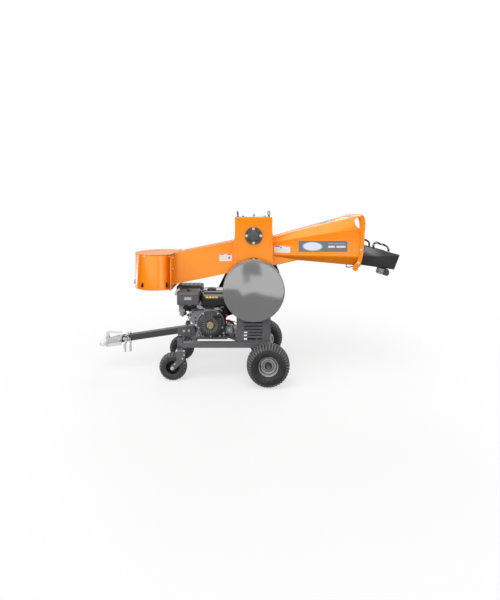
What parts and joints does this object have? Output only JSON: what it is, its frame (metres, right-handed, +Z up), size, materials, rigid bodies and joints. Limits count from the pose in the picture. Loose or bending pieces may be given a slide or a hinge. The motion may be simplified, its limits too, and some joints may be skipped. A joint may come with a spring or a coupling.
{
  "type": "wood chipper",
  "caption": "Towable petrol wood chipper: twin rotor cutter box, tapered infeed funnel with folding tray, bag discharge, ball coupler and caster wheels.",
  "frame": {"origin": "on the ground, at the middle of the overall length and width", "axes": "+X towards the infeed tray, -X towards the tow coupler, +Y towards the belt guard side, +Z up"},
  "size_m": [2.475, 0.697, 1.3406],
  "materials": {
    "orange_paint": "glossy powder coat",
    "grey_paint": "satin powder coat",
    "guard_paint": "glossy enamel",
    "black_paint": "satin",
    "black_plastic": "lightly textured",
    "tank_enamel": "glossy enamel",
    "tyre_rubber": "matte rubber",
    "belt_rubber": "matte rubber",
    "wheel_steel": "silver painted steel",
    "bright_steel": "zinc plated",
    "cast_iron": "oiled cast iron",
    "cast_aluminium": "rough cast",
    "red_plastic": "glossy"
  },
  "bodies": {
    "machine": {"chassis_frame": "grey_paint", "axle_beam": "grey_paint", "drawbar_tube": "grey_paint", "coupler_body": "bright_steel", "safety_chain": "bright_steel", "pedestal": "grey_paint", "jackshaft_bearing_near": "cast_iron", "jackshaft_bearing_far": "cast_iron", "flywheel_guard": "guard_paint", "belt_guard": "black_paint", "drive_belt": "belt_rubber", "cutter_box": "orange_paint", "cutter_box_cover": "grey_paint", "bearing_cap_upper": "black_paint", "bearing_cap_lower": "black_paint", "far_bearing_plate": "cast_iron", "infeed_funnel": "orange_paint", "mouth_hoop": "orange_paint", "discharge_chute": "orange_paint", "bag_hood": "orange_paint", "bag_hood_lid": "orange_paint", "bag_hook_end": "black_paint", "lifting_eye_left": "bright_steel", "lifting_eye_right": "bright_steel", "engine_block": "cast_aluminium", "fan_housing": "black_plastic", "fuel_tank": "tank_enamel", "air_cleaner": "black_plastic", "carburettor": "cast_aluminium", "muffler": "bright_steel", "muffler_guard": "black_paint", "starter_motor": "cast_iron"},
    "rear_wheel_near": {"rear_tyre_near": "tyre_rubber", "rear_rim_near": "wheel_steel"},
    "rear_wheel_far": {"rear_tyre_far": "tyre_rubber", "rear_rim_far": "wheel_steel"},
    "caster_near": {"caster_fork_near": "grey_paint"},
    "caster_far": {"caster_fork_far": "grey_paint"},
    "front_wheel_near": {"front_tyre_near": "tyre_rubber", "front_rim_near": "black_paint"},
    "front_wheel_far": {"front_tyre_far": "tyre_rubber", "front_rim_far": "black_paint"},
    "layshaft": {"jackshaft": "bright_steel", "flywheel": "cast_iron", "driven_pulley": "cast_iron"},
    "crank": {"crank_pulley": "cast_iron"},
    "rotor_lower": {"lower_rotor": "cast_iron", "timing_gear_lower": "bright_steel"},
    "rotor_upper": {"upper_rotor": "cast_iron", "timing_gear_upper": "bright_steel"},
    "latch": {"coupler_lever": "bright_steel"},
    "tray": {"infeed_tray": "grey_paint", "tray_handle_near": "grey_paint", "tray_handle_far": "black_paint", "control_box": "black_plastic"},
    "stop": {"stop_button": "red_plastic"},
    "cap": {"fuel_cap": "black_plastic"},
    "throttle": {"throttle_lever": "black_plastic"},
    "recoil": {"starter_grip": "black_plastic"}
  },
  "joints": [
    {"name": "rear_wheel_near_spin", "type": "hinge", "parent": "machine", "child": "rear_wheel_near", "pos_m": [0.1685, -0.285, 0.165], "axis": [0, 1, 0], "continuous": true},
    {"name": "rear_wheel_far_spin", "type": "hinge", "parent": "machine", "child": "rear_wheel_far", "pos_m": [0.1685, 0.285, 0.165], "axis": [0, 1, 0], "continuous": true},
    {"name": "caster_near_swivel", "type": "hinge", "parent": "machine", "child": "caster_near", "pos_m": [-0.5255, -0.185, 0.24], "axis": [0, 0, 1], "continuous": true},
    {"name": "caster_far_swivel", "type": "hinge", "parent": "machine", "child": "caster_far", "pos_m": [-0.5255, 0.185, 0.24], "axis": [0, 0, 1], "continuous": true},
    {"name": "front_wheel_near_spin", "type": "hinge", "parent": "caster_near", "child": "front_wheel_near", "pos_m": [-0.5795, -0.185, 0.11], "axis": [0, 1, 0], "continuous": true},
    {"name": "front_wheel_far_spin", "type": "hinge", "parent": "caster_far", "child": "front_wheel_far", "pos_m": [-0.5795, 0.185, 0.11], "axis": [0, 1, 0], "continuous": true},
    {"name": "layshaft_spin", "type": "hinge", "parent": "machine", "child": "layshaft", "pos_m": [0.0595, 0, 0.715], "axis": [0, 1, 0], "continuous": true},
    {"name": "crank_spin", "type": "hinge", "parent": "machine", "child": "crank", "pos_m": [-0.2865, 0, 0.435], "axis": [0, 1, 0], "continuous": true},
    {"name": "rotor_lower_spin", "type": "hinge", "parent": "machine", "child": "rotor_lower", "pos_m": [0.0595, 0, 0.897], "axis": [0, 1, 0], "continuous": true},
    {"name": "rotor_upper_spin", "type": "hinge", "parent": "machine", "child": "rotor_upper", "pos_m": [0.0595, 0, 1.142], "axis": [0, 1, 0], "continuous": true},
    {"name": "coupler_latch_lift", "type": "hinge", "parent": "machine", "child": "latch", "pos_m": [-1.1765, 0, 0.281], "axis": [0, -1, 0], "range_deg": [0, 65]},
    {"name": "tray_fold", "type": "hinge", "parent": "machine", "child": "tray", "pos_m": [0.8855, 0, 0.931], "axis": [0, -1, 0], "range_deg": [0, 88]},
    {"name": "stop_button_press", "type": "slide", "parent": "tray", "child": "stop", "axis": [-0.9636, 0, 0.2672], "range_m": [0, 0.005]},
    {"name": "fuel_cap_turn", "type": "hinge", "parent": "machine", "child": "cap", "pos_m": [-0.2845, -0.084, 0.7], "axis": [0, 0, 1], "range_deg": [0, 90]},
    {"name": "throttle_move", "type": "hinge", "parent": "machine", "child": "throttle", "pos_m": [-0.4295, -0.13, 0.566], "axis": [0, -1, 0], "range_deg": [0, 35]},
    {"name": "starter_pull", "type": "slide", "parent": "machine", "child": "recoil", "axis": [-0.3522, -0.7547, 0.5535], "range_m": [0, 0.6]}
  ],
  "couplings": [
    {"joint": "crank_spin", "follows": "layshaft_spin", "ratio": 4},
    {"joint": "rotor_lower_spin", "follows": "layshaft_spin", "ratio": -0.38889},
    {"joint": "rotor_upper_spin", "follows": "layshaft_spin", "ratio": 0.38889}
  ]
}
